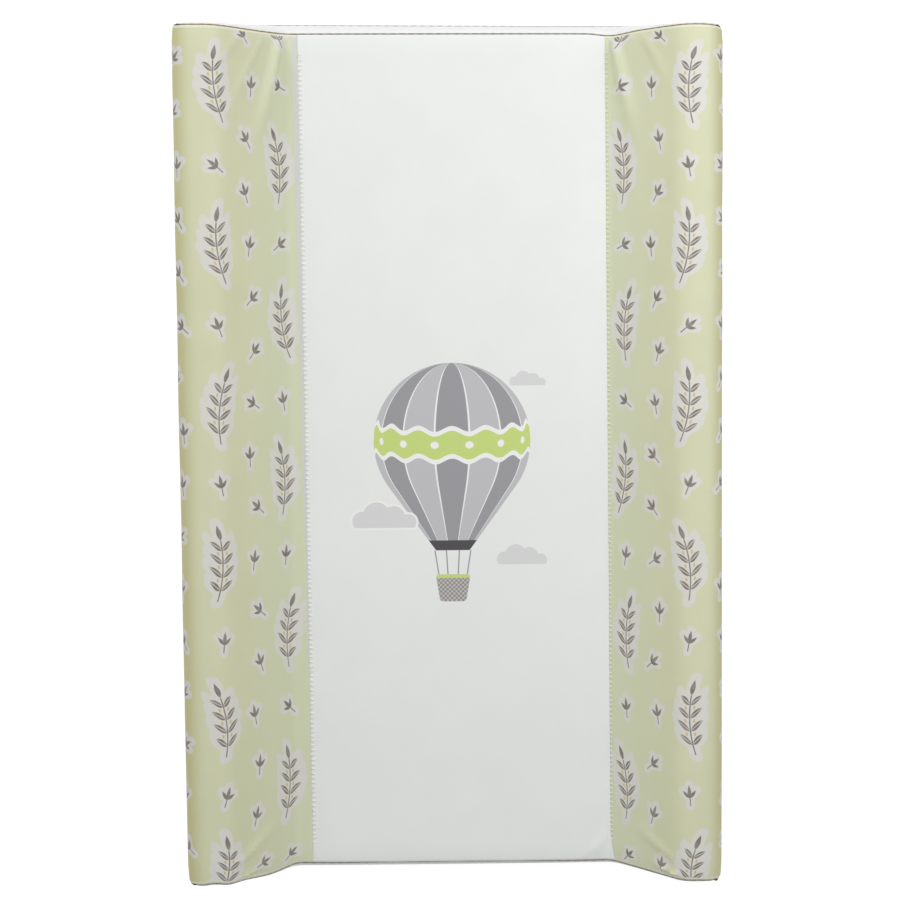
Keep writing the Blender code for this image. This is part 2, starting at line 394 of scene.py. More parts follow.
def roll(distance, radius):
    """How deep the cloth dips at a distance from a sewn edge, over which it turns down."""
    left = np.clip(radius - distance, 0, radius)
    return radius - np.sqrt(radius**2 - left**2)


def top_of_cover(place, along, lift=0.0):
    """Points of the cover's top: a place on its line, and a distance along the pad from its middle."""
    x, z, out_x, out_z, share = on_line(place)
    straight = HALF_LENGTH - SOFT_REACH - END_DRAW - max(HOLLOW.values())
    reach = np.where(along > 0, end_reach(x, share, 1), end_reach(x, share, -1)) - END_ROLL
    beyond = np.clip(np.abs(along) - straight, 0, None) / (HALF_LENGTH - straight)
    y = np.sign(along) * (np.minimum(np.abs(along), straight) + beyond * (reach - straight))
    to_end = HALF_LENGTH - np.abs(along)
    sink = SOFT_SINK * np.clip(1 - to_end / SOFT_REACH, 0, 1) ** 2 + roll(to_end, END_ROLL)
    x = spread(x, along, share)
    return np.stack([x + out_x * (lift - sink), y, z + out_z * (lift - sink)], 1)


# Folds in the cloth
# Where the long seams run into the ends, the pull of the seam raises soft folds that fan out over
# the slopes, and the crests' ends have short ones. Each is a line on the flat cloth: its two ends,
# its half width and its height.

FOLDS = (
    ((-0.157, 0.398), (-0.191, 0.288), 0.0110, 0.0059),
    ((-0.178, 0.397), (-0.232, 0.312), 0.0075, 0.0024),
    ((-0.186, 0.399), (-0.214, 0.362), 0.0026, 0.0007),
    ((-0.196, 0.399), (-0.230, 0.372), 0.0026, 0.0007),
    ((-0.205, 0.397), (-0.240, 0.365), 0.0050, 0.0014),
    ((0.1540, 0.397), (0.183, 0.290), 0.0112, 0.0053),
    ((0.190, 0.397), (0.226, 0.340), 0.0070, 0.0018),
    ((-0.230, -0.399), (-0.192, -0.386), 0.0040, 0.0030),
    ((-0.236, -0.384), (-0.172, -0.345), 0.0070, 0.0024),
    ((0.242, -0.397), (0.200, -0.388), 0.0040, 0.0032),
    ((0.234, -0.380), (0.180, -0.352), 0.0065, 0.0020),
    ((0.136, -0.398), (0.146, -0.362), 0.0040, 0.0016),
    ((0.124, -0.398), (0.142, -0.374), 0.0040, 0.0012),
    ((-0.131, -0.398), (-0.138, -0.370), 0.0040, 0.0008),
)
FOLD_START_WIDTH = 0.55
FOLD_WIDENING = 0.9
FOLD_PEAK_POWER = 0.6
SWELL_SIZE = 0.09
SWELL_HEIGHT = 0.0004


def fold_lift(place, along):
    """How far the folds raise the cloth: each is highest near its start and fades out to its end."""
    lift = np.zeros_like(place)
    for start, end, half_width, height in FOLDS:
        run_x, run_y = end[0] - start[0], end[1] - start[1]
        length = math.hypot(run_x, run_y)
        on = ((place - start[0]) * run_x + (along - start[1]) * run_y) / length
        off = np.abs((place - start[0]) * run_y - (along - start[1]) * run_x) / length
        share = np.clip(on / length, 0, 1)
        widened = half_width * (FOLD_START_WIDTH + FOLD_WIDENING * share)
        ridge = np.cos(np.clip(off / widened, 0, 1) * QUARTER) ** 2
        lift += height * ridge * np.sin(np.pi * share**FOLD_PEAK_POWER) * (on > 0) * (on < length)
    return lift


def swell(points):
    """Slow unevenness of the foam below the cloth."""
    return np.array([SWELL_HEIGHT * noise.noise(Vector(point) / SWELL_SIZE) for point in points])


# Cloth of the cover
# Cotton coated with soft plastic, about 0.8 mm thick, wipes clean and has a fine leather-like
# grain. Pulled over the foam it swells a little between its seams, which hold it down.

SHEET = 0.0008
CLOTH_STEP = 0.0036
BESIDE_SEAM = (0, 0.0005, 0.0011, 0.0019, 0.003, 0.0048, 0.0075)
CLOTH_SMOOTH_ANGLE = math.radians(60)
PUFF_FRAMES = 12
FOAM_HOLD = 0.3
MOST_RISE = 0.002
HELD_BESIDE = 0.004
UV_NAME = "UVMap"
PEBBLES_PER_METRE = 850.0
PEBBLE_HEIGHT = 0.9
WEAVE_PITCH = 0.0007
WEAVE_HEIGHT = 0.12
FINE_DETAIL = 3
TONE_CLOUD_SIZE = 0.045
GRAIN_RELIEF = (0.18, 0.0002)
GRAIN_DULL = (0.45, 0.6)
GRAIN_SPECULAR = 0.28


def grid_lines(length):
    """Distances of the cloth's grid lines from one cut edge, closer together beside the seams."""
    inner = length - 2 * BESIDE_SEAM[-1]
    count = round(inner / CLOTH_STEP)
    middle = [BESIDE_SEAM[-1] + inner * index / count for index in range(1, count)]
    return np.array([*BESIDE_SEAM, *middle, *(length - place for place in reversed(BESIDE_SEAM))])


def mark_cut(cloth, flat):
    """Stores each point's place on the flat cut, in metres, in the cloth's UV map."""
    corners = np.zeros(len(cloth.data.loops), np.int32)
    cloth.data.loops.foreach_get("vertex_index", corners)
    cut_map = cloth.data.uv_layers[0]
    cut_map.name = UV_NAME
    cut_map.uv.foreach_set("vector", flat[corners].astype(np.float32).ravel())


def cut_cloth(name, across, along):
    """A flat cut of cloth, and each point's place on it."""
    bpy.ops.object.select_all(action="DESELECT")
    bpy.ops.mesh.primitive_grid_add(
        x_subdivisions=len(across) - 1, y_subdivisions=len(along) - 1, size=1
    )
    cloth = bpy.context.object
    cloth.name = cloth.data.name = name
    flat = np.array([(x, y) for y in along for x in across])
    mark_cut(cloth, flat)
    return cloth, flat


def vectors_of(mesh, kind):
    """The places ("co") or normals ("normal") of a mesh's points."""
    vectors = np.zeros(len(mesh.vertices) * 3, np.float32)
    mesh.vertices.foreach_get(kind, vectors)
    return vectors.reshape(-1, 3).astype(float)


def lay(cloth, points):
    """Moves the cloth's points to their places."""
    cloth.data.vertices.foreach_set("co", points.astype(np.float32).ravel())
    cloth.data.update()


def pressed_out(cloth, sewn, pressure):
    """Lets the foam press the cloth out between its sewn points. Gives how far each point rises."""
    before = vectors_of(cloth.data, "co")
    outwards = vectors_of(cloth.data, "normal")
    held = cloth.vertex_groups.new(name="held")
    held.add([int(index) for index in np.flatnonzero(~sewn)], FOAM_HOLD, "REPLACE")
    held.add([int(index) for index in np.flatnonzero(sewn)], 1, "REPLACE")
    pull = cloth.modifiers.new("pull of the foam", "CLOTH")
    pull.settings.vertex_group_mass = "held"
    pull.settings.quality = 5
    pull.settings.mass = 0.4
    pull.settings.tension_stiffness = 25
    pull.settings.compression_stiffness = 12
    pull.settings.bending_stiffness = 1.5
    pull.settings.use_pressure = True
    pull.settings.uniform_pressure_force = pressure
    pull.settings.effector_weights.gravity = 0
    pull.point_cache.frame_start = 1
    pull.point_cache.frame_end = PUFF_FRAMES
    for count in range(1, PUFF_FRAMES + 1):
        bpy.context.scene.frame_set(count)
    pulled = cloth.evaluated_get(bpy.context.evaluated_depsgraph_get())
    raised = np.sum((vectors_of(pulled.data, "co") - before) * outwards, axis=1)
    bpy.context.scene.frame_set(1)
    cloth.modifiers.remove(pull)
    cloth.vertex_groups.remove(held)
    return np.clip(raised, 0, MOST_RISE)


def raised_cloth(cloth, place, along, sewn, to_edge, pressure):
    """How far the pressed, folded and uneven cloth stands off the foam. Its edges are sewn down."""
    rise = fold_lift(place, along) + swell(vectors_of(cloth.data, "co"))
    rise += pressed_out(cloth, sewn, pressure)
    return rise * np.clip(to_edge / HELD_BESIDE, 0, 1)


def thicken(cloth):
    """Gives the cloth its thickness, inwards from the outer face."""
    pick(cloth)
    wall = cloth.modifiers.new("thickness", "SOLIDIFY")
    wall.thickness = SHEET
    wall.offset = -1
    bpy.ops.object.modifier_apply(modifier=wall.name)
    bpy.ops.object.shade_smooth_by_angle(angle=CLOTH_SMOOTH_ANGLE)


def finish_panel(cloth, node, finish):
    give_finish(cloth, finish)
    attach(cloth, "root")
    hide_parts(node)


def new_group(name, takes, gives):
    """A shared effect: its tree, what it takes and the inputs for what it gives."""
    group = bpy.data.node_groups.new(name, "ShaderNodeTree")
    for label, kind in takes.items():
        group.interface.new_socket(name=label, in_out="INPUT", socket_type="NodeSocket" + kind)
    for label, kind in gives.items():
        group.interface.new_socket(name=label, in_out="OUTPUT", socket_type="NodeSocket" + kind)
    taken = group.nodes.new("NodeGroupInput").outputs
    given = group.nodes.new("NodeGroupOutput").inputs
    return group, {label: Measure(group, taken[label]) for label in takes}, given


def use_group(tree, group, feeds):
    """Places a shared effect in a tree. Gives what it puts out, by name."""
    node = add_node(tree, "Group", feeds, node_tree=group)
    return {output.name: Measure(tree, output) for output in node.outputs}


def split(place):
    """The three measures of a place."""
    parts = add_node(place.tree, "SeparateXYZ", {0: place}).outputs
    return [Measure(place.tree, part) for part in parts]


def coated_grain_effect():
    """Pebbled grain of the coating over the faint weave of the cotton, with soft clouds of tone."""
    gives = {"Height": "Float", "Tone": "Float", "Gloss": "Float"}
    group, taken, given = new_group("coated_grain", {"Place": "Vector", "Flat": "Vector"}, gives)
    place = taken["Place"]
    feeds = {"Vector": place, "Scale": PEBBLES_PER_METRE}
    pebbles = reading(group, "TexVoronoi", "Distance", feeds, feature="SMOOTH_F1")
    fine = speckle(place, WEAVE_PITCH, FINE_DETAIL)
    warp, weft, _ = split(taken["Flat"])
    turns = 2 * math.pi / WEAVE_PITCH
    weave = calc("SINE", warp * turns) * calc("SINE", weft * turns)
    clouds = speckle(place, TONE_CLOUD_SIZE, FINE_DETAIL)
    (pebbles * PEBBLE_HEIGHT + fine + weave * WEAVE_HEIGHT).feed(given["Height"])
    fade(clouds, *NOISE_SPAN).feed(given["Tone"])
    (fine * 0.5 + clouds * 0.5).feed(given["Gloss"])
    return group


coated_grain = coated_grain_effect()


def cut_place(tree):
    """The place on the flat cut of the cloth."""
    return reading(tree, "UVMap", 0, uv_map=UV_NAME)


def grain_on(tree, surface):
    """Puts the coated grain on a surface, and returns its clouds of tone."""
    feeds = {"Place": object_place(tree), "Flat": cut_place(tree)}
    grain = use_group(tree, coated_grain, feeds)
    fade(grain["Gloss"], *NOISE_SPAN, *GRAIN_DULL).feed(surface.inputs["Roughness"])
    surface.inputs["Specular IOR Level"].default_value = GRAIN_SPECULAR
    relief(surface, grain["Height"], *GRAIN_RELIEF)
    return grain["Tone"]


# Long seams
# The lying surface and the side panels meet in two long seams. A row of short cross stitches holds
# each one down, so the cloth right of the seam is dimpled between them, with shade painted into the
# dimples. Both seams lean a little.

SEAM_LEAN = {1: 0.0032, -1: 0.0076}
SEAM_SPACE = 0.00004
SEAM_FLARE = 0.004
FLARE_REACH = 0.045
STITCH_PITCH = 0.0045
STITCH_FROM_END = 0.024
STITCHED_EDGE = 0.001
WHOLE_PITCHES = 100.0
DIMPLE_GAP = (STITCH_PITCH * 0.36, STITCH_PITCH * 0.1)
DIMPLE_REACH = (0.0048, 0.0004)
DIMPLE_START = (-0.0006, 0.0002)
# Share of painted shade that darkens the dimples, and its colour below.
PAINTED_DIMPLE_SHADE_AMOUNT = 0.10
DIMPLE_DEPTH = 0.00022
PAINTED_DIMPLE_SHADE_COLOUR = (0.25, 0.25, 0.22, 1)


def seam_place(side, along):
    """Place of a long seam on the cover's line. Both lean a little to the right, most at the foot."""
    lean = SEAM_LEAN[-1] + (SEAM_LEAN[1] - SEAM_LEAN[-1]) * (along / HALF_LENGTH + 1) / 2
    near_foot = np.clip(1 - (along + HALF_LENGTH) / FLARE_REACH, 0, 1)
    return side * SEAM_X + lean + np.where(side > 0, SEAM_FLARE, 0) * near_foot**2


def dimples_effect():
    """Dimples between the stitches, from the distance to the seam and the place along it."""
    takes = {"Across": "Float", "Along": "Float"}
    group, taken, given = new_group("stitch_dimples", takes, {"Share": "Float"})
    middle = taken["Along"] - HALF_LENGTH
    step = calc("FRACT", middle / STITCH_PITCH + WHOLE_PITCHES)
    gap = fade(abs(step - 0.5) * STITCH_PITCH, *DIMPLE_GAP)
    near = fade(taken["Across"], *DIMPLE_REACH)
    start = fade(taken["Across"], *DIMPLE_START)
    last = HALF_LENGTH - STITCH_FROM_END
    sewn = fade(abs(middle), last + STITCHED_EDGE, last - STITCHED_EDGE)
    (gap * near * (start * sewn)).feed(given["Share"])
    return group


stitch_dimples = dimples_effect()


def dimpled(surface, colour, across, along):
    """Sinks the cloth between the stitches of a seam, and darkens it there with painted shade."""
    feeds = {"Across": across, "Along": along}
    share = use_group(across.tree, stitch_dimples, feeds)["Share"]
    relief(surface, share * -DIMPLE_DEPTH, strength=1.0)
    return dye(share * PAINTED_DIMPLE_SHADE_AMOUNT, colour, PAINTED_DIMPLE_SHADE_COLOUR)


# Lying surface
# One white panel between the two long seams. A small picture is printed in its middle: a striped
# balloon with a basket among clouds, in greys, white and lime. It swells softly between the seams.

WHITE = (0.845, 0.86, 0.85, 1)
WHITE_SHADE = (0.83, 0.845, 0.836, 1)
MID_GREY = (0.33, 0.325, 0.345, 1)
LIGHT_GREY = (0.53, 0.525, 0.545, 1)
PALE_GREY = (0.7, 0.695, 0.71, 1)
DARK_GREY = (0.075, 0.07, 0.075, 1)
LIME = (0.57, 0.7, 0.22, 1)
PAPER_WHITE = (0.9, 0.89, 0.88, 1)
WICKER = (0.3, 0.265, 0.23, 1)
PRINT_EDGE = 0.00025
PICTURE_PLACE = (0.001, 0.012, 0)
IN_PLAN = (1, 1, 0)
CLOUD_PUFFS = ((-0.95, 0.28, 0.4), (-0.35, 0.5, 0.56), (0.35, 0.42, 0.48), (0.95, 0.22, 0.34))
CLOUD_BASE = 0.1
CLOUD_BASE_OUT = 0.05
PLAIN_CLOUDS = (((0.066, -0.118), 0.018), ((0.072, 0.052), 0.013))
RIMMED_CLOUD = ((-0.064, -0.082), 0.023)
CLOUD_RIM = 0.002
BALLOON_RADIUS = 0.074
BALLOON_TAPER = math.radians(36)
MOUTH_LEVEL = -0.104
MOUTH_HALF = 0.0185
LEAST_HALF = 0.001
GORE_ANGLE = math.pi / 7
GORE_SEAM_FROM = 0.472
BAND_LEVEL = -0.004
BAND_HALF = 0.011
BAND_RIM = 0.0045
BAND_CURVE = 0.0035
WAVE_PACE = 14.0
WAVE_HEIGHT = 0.0028
DOT_PITCH = 0.028
DOT_RADIUS = 0.0034
SKIRT_RISE = 0.004
SKIRT_HALF = 0.0055
ROPE_HALF = 0.0006
ROPE_INSET = 0.0015
ROPE_CLOSING = 0.0035
INNER_ROPE = 0.36
BASKET_TOP = -0.127
BASKET_FLOOR = -0.153
BASKET_HALF = 0.0165
BASKET_NARROWING = 0.16
BASKET_CORNER = 0.003
BASKET_RIM = 0.0018
PLAIT_PACE = 1500.0
PLAIT_SPAN = (-0.2, 0.2)
LYING_PRESSURE = 45.0
SEWN_SHARE = 0.5


def inside(distance):
    """1 where the distance to a shape's outline is negative."""
    return fade(distance, PRINT_EDGE, -PRINT_EDGE)


def length_of(across, up):
    return calc("SQRT", across * across + up * up)


def disc_distance(place, centre, radius):
    feeds = {0: place, 1: (*centre, 0)}
    return reading(place.tree, "VectorMath", "Value", feeds, operation="DISTANCE") - radius


def strip_distance(value, middle, half):
    """Distance outside a strip about a middle value."""
    return abs(value - middle) - half


def nearest(found, *distances):
    for distance in distances:
        found = calc("MINIMUM", found, distance)
    return found


def furthest(found, *distances):
    for distance in distances:
        found = calc("MAXIMUM", found, distance)
    return found


def cloud_distance(place, up, middle, size):
    """A cloud of four discs on a flat base."""
    discs = [
        disc_distance(place, (middle[0] + across * size, middle[1] + level * size), radius * size)
        for across, level, radius in CLOUD_PUFFS
    ]
    base = furthest(
        strip_distance(up, middle[1] + CLOUD_BASE * size, CLOUD_BASE * size),
        disc_distance(place, middle, size) - CLOUD_BASE_OUT * size,
    )
    return furthest(nearest(*discs, base), middle[1] - up)


def balloon_half(up):
    """Half the balloon's width at a level: round above, and tapering straight to its mouth below."""
    turn_level = -BALLOON_RADIUS * math.sin(BALLOON_TAPER)
    round_half = calc("SQRT", calc("MAXIMUM", BALLOON_RADIUS**2 - up * up, 0.0))
    lean = (up - turn_level) * math.tan(BALLOON_TAPER)
    taper_half = lean + BALLOON_RADIUS * math.cos(BALLOON_TAPER)
    tapering = calc("LESS_THAN", up, turn_level)
    return round_half * (1.0 - tapering) + taper_half * tapering


def balloon_colour(up, longitude):
    """The striped gores, and a wavy lime band with dots round the middle."""
    turns = longitude / GORE_ANGLE
    gore = turns + 0.5
    odd = calc("GREATER_THAN", calc("PINGPONG", calc("FLOOR", gore), 1.0), 0.5)
    seam_line = calc("GREATER_THAN", abs(calc("FRACT", gore) - 0.5), GORE_SEAM_FROM)
    colour = dye(seam_line, dye(odd, MID_GREY, LIGHT_GREY), PAPER_WHITE)
    band_up = up - longitude * longitude * BAND_CURVE
    wavy_up = band_up - calc("COSINE", longitude * WAVE_PACE) * WAVE_HEIGHT
    rim = strip_distance(wavy_up, BAND_LEVEL, BAND_HALF + BAND_RIM)
    band = strip_distance(wavy_up, BAND_LEVEL, BAND_HALF)
    colour = dye(inside(band), dye(inside(rim), colour, PAPER_WHITE), LIME)
    dot_across = (calc("FRACT", turns) - 0.5) * DOT_PITCH
    dots = length_of(dot_across, band_up - BAND_LEVEL) - DOT_RADIUS
    colour = dye(inside(dots), colour, PAPER_WHITE)
    skirt = strip_distance(up, MOUTH_LEVEL + SKIRT_RISE, SKIRT_HALF)
    return dye(inside(skirt), colour, DARK_GREY)


def ropes_distance(away, up):
    """Four ropes that close a little from the balloon's mouth down to the basket."""
    share = (MOUTH_LEVEL - up) / (MOUTH_LEVEL - BASKET_TOP)
    rope_at = (MOUTH_HALF - ROPE_INSET) - share * ROPE_CLOSING
    outer_ropes = strip_distance(away, rope_at, ROPE_HALF)
    inner_ropes = strip_distance(away, rope_at * INNER_ROPE, ROPE_HALF)
    middle = (MOUTH_LEVEL + BASKET_TOP) / 2
    between = strip_distance(up, middle, (MOUTH_LEVEL - BASKET_TOP) / 2)
    return furthest(nearest(outer_ropes, inner_ropes), between)


def basket_distance(away, up):
    """A basket that narrows to its floor and has rounded corners."""
    side = away + (BASKET_TOP - up) * BASKET_NARROWING - (BASKET_HALF - BASKET_CORNER)
    middle = (BASKET_TOP + BASKET_FLOOR) / 2
    end = strip_distance(up, middle, (BASKET_TOP - BASKET_FLOOR) / 2 - BASKET_CORNER)
    return length_of(calc("MAXIMUM", side, 0.0), calc("MAXIMUM", end, 0.0)) - BASKET_CORNER


def picture_on(tone):
    """Paints the clouds, the balloon, its ropes and its basket on the cloth's colour."""
    tree = tone.tree
    feeds = {0: object_place(tree), 1: PICTURE_PLACE}
    moved = reading(tree, "VectorMath", 0, feeds, operation="SUBTRACT")
    place = reading(tree, "VectorMath", 0, {0: moved, 1: IN_PLAN}, operation="MULTIPLY")
    across, up, _ = split(place)
    away = abs(across)
    for middle, size in PLAIN_CLOUDS:
        tone = dye(inside(cloud_distance(place, up, middle, size)), tone, PALE_GREY)

    half = balloon_half(up)
    envelope = furthest(away - half, MOUTH_LEVEL - up, up - BALLOON_RADIUS)
    longitude = calc("ARCSINE", across / calc("MAXIMUM", half, LEAST_HALF))
    tone = dye(inside(envelope), tone, balloon_colour(up, longitude))
    tone = dye(inside(ropes_distance(away, up)), tone, MID_GREY)

    plait = calc("SINE", across * PLAIT_PACE) * calc("SINE", up * PLAIT_PACE)
    wicker = dye(fade(plait, *PLAIT_SPAN), WICKER, LIGHT_GREY)
    rim = strip_distance(up, BASKET_TOP - BASKET_RIM, BASKET_RIM)
    wicker = dye(inside(rim), wicker, LIME)
    tone = dye(inside(basket_distance(away, up)), tone, wicker)

    cloud = cloud_distance(place, up, *RIMMED_CLOUD)
    tone = dye(inside(cloud - CLOUD_RIM), tone, PAPER_WHITE)
    return dye(inside(cloud), tone, PALE_GREY)


def lying_finish():
    finish, tree, surface = new_finish("white_printed_cloth")
    cloth_tone = dye(grain_on(tree, surface), WHITE, WHITE_SHADE)
    across, along, _ = split(cut_place(tree))
    colour = dimpled(surface, picture_on(cloth_tone), across, along)
    colour.feed(surface.inputs["Base Color"])
    return finish


lying_lines = grid_lines(2 * SEAM_X)
length_lines = grid_lines(2 * HALF_LENGTH)
lying_cloth, flat = cut_cloth("lying_surface", lying_lines, length_lines)
along = flat[:, 1] - HALF_LENGTH
share = flat[:, 0] / (2 * SEAM_X)
first = seam_place(-1, along) + SEAM_SPACE
last = seam_place(1, along) - SEAM_SPACE
place = first + (last - first) * share
to_seam = np.minimum(place - first, last - place)
lay(lying_cloth, top_of_cover(place, along, -roll(to_seam, SEAM_ROLL)))
to_end = HALF_LENGTH - np.abs(along)
sewn = (to_seam < SEAM_ROLL * SEWN_SHARE) | (to_end < END_ROLL * SEWN_SHARE)
to_edge = np.minimum(to_seam, to_end)
rise = raised_cloth(lying_cloth, place, along, sewn, to_edge, LYING_PRESSURE)
lay(lying_cloth, top_of_cover(place, along, rise - roll(to_seam, SEAM_ROLL)))
thicken(lying_cloth)
finish_panel(
    lying_cloth, "centre_panel", lying_finish(),
)


# Side panels
# Two panels of pale green printed cloth, mirror images, run from the long seam over the slope and
# the crest down to the floor. Leafy sprigs in grey with pale borders are printed on them.

GREEN = (0.68, 0.694, 0.476, 1)
GREEN_SHADE = (0.66, 0.676, 0.458, 1)
# Painted shade: the green is dyed a cooler tone towards the long seam, darker and yellower over the
# rolled outer edge (differently on the left and right), and a little darker and yellower on the outer
# wall.
COOL_PAINTED_SHADE = (0.669, 0.702, 0.497, 1)
COOL_PAINTED_SHADE_SPAN = (0.075, 0.012)
WARM_PAINTED_SHADE = {-1: (0.61, 0.592, 0.315, 1), 1: (0.565, 0.542, 0.295, 1)}
WARM_PAINTED_SHADE_SPAN = (WALL_PLACE - SEAM_X - 0.029, WALL_PLACE - SEAM_X - 0.007)
WALL_PAINTED_SHADE = (0.66, 0.662, 0.425, 1)
WALL_PAINTED_SHADE_SPAN = (WALL_PLACE - SEAM_X - 0.002, WALL_PLACE - SEAM_X + 0.02)
# Painted highlight: the last few millimetres of cloth at each end, where it turns down, are paler.
PAINTED_FOLD_HIGHLIGHT = (0.78, 0.77, 0.62, 1)
PAINTED_FOLD_HIGHLIGHT_SPAN = (0.0032, 0.0022)
# The unprinted strip beside the seam is dyed grey, which is painted shade of the cloth's fold there.
BARE_EDGE_PAINTED_SHADE = (0.66, 0.665, 0.64, 1)
BARE_CURVE = 1.1
INK = (0.215, 0.19, 0.165, 1)
INK_LIGHT = (0.29, 0.265, 0.235, 1)
WORN_SIZE = 0.006
WORN_SPAN = (0.35, 0.65)
HALO = (0.716, 0.712, 0.662, 1)
HALO_EDGE = 0.0009
BERRY = (0.62, 0.5, 0.19, 1)
PRINT_SHIFT = 0.018
TILE_WIDTH = 0.080
TILE_LENGTH = 0.146
LEAF_BELLY = 0.8
LEAF_TRIM = 0.0002
LEAF_ANGLE = math.radians(38)
LEAF_LENGTH = 0.0175
LEAF_HALF = 0.0026
RIB_HALF = 0.0003
SPRIG_TURN = 0.35
SPRIG_CURVE = 4.5
SPRIG_FOOT = -0.031
SPRIG_PITCH = 0.0125
SPRIG_PAIRS = 4
PITCH_ACROSS = SPRIG_PITCH * math.cos(LEAF_ANGLE)
SPRIG_TIP = SPRIG_FOOT + SPRIG_PITCH * (SPRIG_PAIRS + 0.2)
TIP_LENGTH = LEAF_LENGTH * 0.85
LONGEST_PAIR = 1.2
PAIR_SHORTENING = 0.12
STEM_FOOT = SPRIG_FOOT - 0.004
STEM_HALF = 0.0006
BERRY_OUT = 0.0052
BERRY_RADIUS = 0.0013
BERRY_MIDDLE = SPRIG_FOOT + SPRIG_PITCH * SPRIG_PAIRS / 2
BERRY_HALF = SPRIG_PITCH * (SPRIG_PAIRS / 2 - 0.4)
HALO_RADIUS = 0.0062
SPROUT_TURN = 2.4
SPROUT_SPREAD = math.radians(42)
SPROUT_STRAY = 0.012
SPROUT_FOOT = 0.003
SPROUT_SIDE_LEAF = (0.010, 0.0017)
SPROUT_TOP_LEAF = (0.013, 0.0019)
STALK_FOOT = -0.0105
STALK_TIP = -0.0025
STALK_HALF = 0.0005
SPROUT_HALO = 0.0042
CUT_WIDTH = LINE_END - SEAM_X
SIDE_PRESSURE = 35.0


def leaf_effect():
    """A pointed leaf along X from its stalk. Gives the depth inside it and the distance to its rib."""
    takes = dict.fromkeys(("Along", "Across", "Length", "Half width"), "Float")
    gives = dict.fromkeys(("Depth", "Distance"), "Float")
    group, taken, given = new_group("printed_leaf", takes, gives)
    along = taken["Along"]
    away = abs(taken["Across"])
    share = calc("MINIMUM", calc("MAXIMUM", along / taken["Length"], 0.0), 1.0)
    belly = calc("SINE", calc("POWER", share, LEAF_BELLY) * math.pi)
    (belly * taken["Half width"] - away - LEAF_TRIM).feed(given["Depth"])
    length_of(along - share * taken["Length"], away).feed(given["Distance"])
    return group


printed_leaf = leaf_effect()


def leaf_at(along, across, length, half_width):
    """Depth and distance of one leaf, from its own two measures."""
    feeds = {"Along": along, "Across": across, "Length": length, "Half width": half_width}
    return use_group(along.tree, printed_leaf, feeds).values()


def stem_at(away, up, foot, tip, half_width):
    """The outline of a straight stem, and the distance to its middle line."""
    past = strip_distance(up, (foot + tip) / 2, (tip - foot) / 2)
    return furthest(away - half_width, past), length_of(away, calc("MAXIMUM", past, 0.0))


def turned(across, up, cosine, sine):
    """Both measures after a turn by the angle with this cosine and sine."""
    return across * cosine + up * sine, up * cosine - across * sine


def turned_by_chance(across, up, chance, most):
    angle = (chance - 0.5) * most
    return turned(across, up, calc("COSINE", angle), calc("SINE", angle))


def tile_effect():
    """Repeats a motif in columns set half a repeat apart. Gives its measures and two chances."""
    takes = dict.fromkeys(("Across", "Up", "Width", "Length"), "Float")
    gives = dict.fromkeys(("Across", "Up", "Chance", "Other chance"), "Float")
    group, taken, given = new_group("print_repeat", takes, gives)
    columns = taken["Across"] / taken["Width"]
    column = calc("FLOOR", columns)
    rows = taken["Up"] / taken["Length"] + calc("PINGPONG", column, 1.0) * 0.5
    row = calc("FLOOR", rows)
    ((columns - column - 0.5) * taken["Width"]).feed(given["Across"])
    ((rows - row - 0.5) * taken["Length"]).feed(given["Up"])
    cell = reading(group, "CombineXYZ", 0, {"X": column, "Y": row})
    chances = reading(group, "TexWhiteNoise", "Color", {"Vector": cell}, noise_dimensions="2D")
    reading(group, "SeparateColor", "Red", {0: chances}).feed(given["Chance"])
    reading(group, "SeparateColor", "Green", {0: chances}).feed(given["Other chance"])
    return group


print_repeat = tile_effect()


def repeat_at(across, up, width, length):
    feeds = {"Across": across, "Up": up, "Width": width, "Length": length}
    return use_group(across.tree, print_repeat, feeds).values()


def sprigs_on(across, up):
    """Tall sprigs: paired leaves up a curved stem, a leaf at its tip, and berries.

    Gives the outlines of the ink, of the berries and of the pale border.
    """
    x, y, chance, other = repeat_at(across, up, TILE_WIDTH, TILE_LENGTH)
    x = x * (calc("GREATER_THAN", chance, 0.5) * 2.0 - 1.0)
    x, y = turned_by_chance(x, y, other, SPRIG_TURN)
    x = x - y * y * SPRIG_CURVE
    away = abs(x)
    slanted = y - away * math.tan(LEAF_ANGLE)
    pairs = (slanted - SPRIG_FOOT) / SPRIG_PITCH
    pair = calc("MINIMUM", calc("MAXIMUM", calc("FLOOR", pairs), 0.0), SPRIG_PAIRS - 1.0)
    leaf_across = (pairs - pair - 0.5) * PITCH_ACROSS
    leaf_along = away / math.cos(LEAF_ANGLE)
    length = (1.0 - abs(pair - LONGEST_PAIR) * PAIR_SHORTENING) * LEAF_LENGTH
    depth, distance = leaf_at(leaf_along, leaf_across, length, LEAF_HALF)
    tip_depth, tip_distance = leaf_at(y - SPRIG_TIP, x, TIP_LENGTH, LEAF_HALF)
    stem, stem_distance = stem_at(away, y, STEM_FOOT, SPRIG_TIP, STEM_HALF)

    rib = abs(leaf_across) - RIB_HALF
    ribbed = furthest(nearest(-depth, -tip_depth, stem), -rib)
    ink = nearest(ribbed, stem, -tip_depth)
    berry = length_of(leaf_along - BERRY_OUT, abs(leaf_across) - PITCH_ACROSS / 2) - BERRY_RADIUS
    on_stem = strip_distance(slanted, BERRY_MIDDLE, BERRY_HALF)
    halo = nearest(distance, tip_distance, stem_distance) - HALO_RADIUS
    return ink, furthest(berry, on_stem), halo


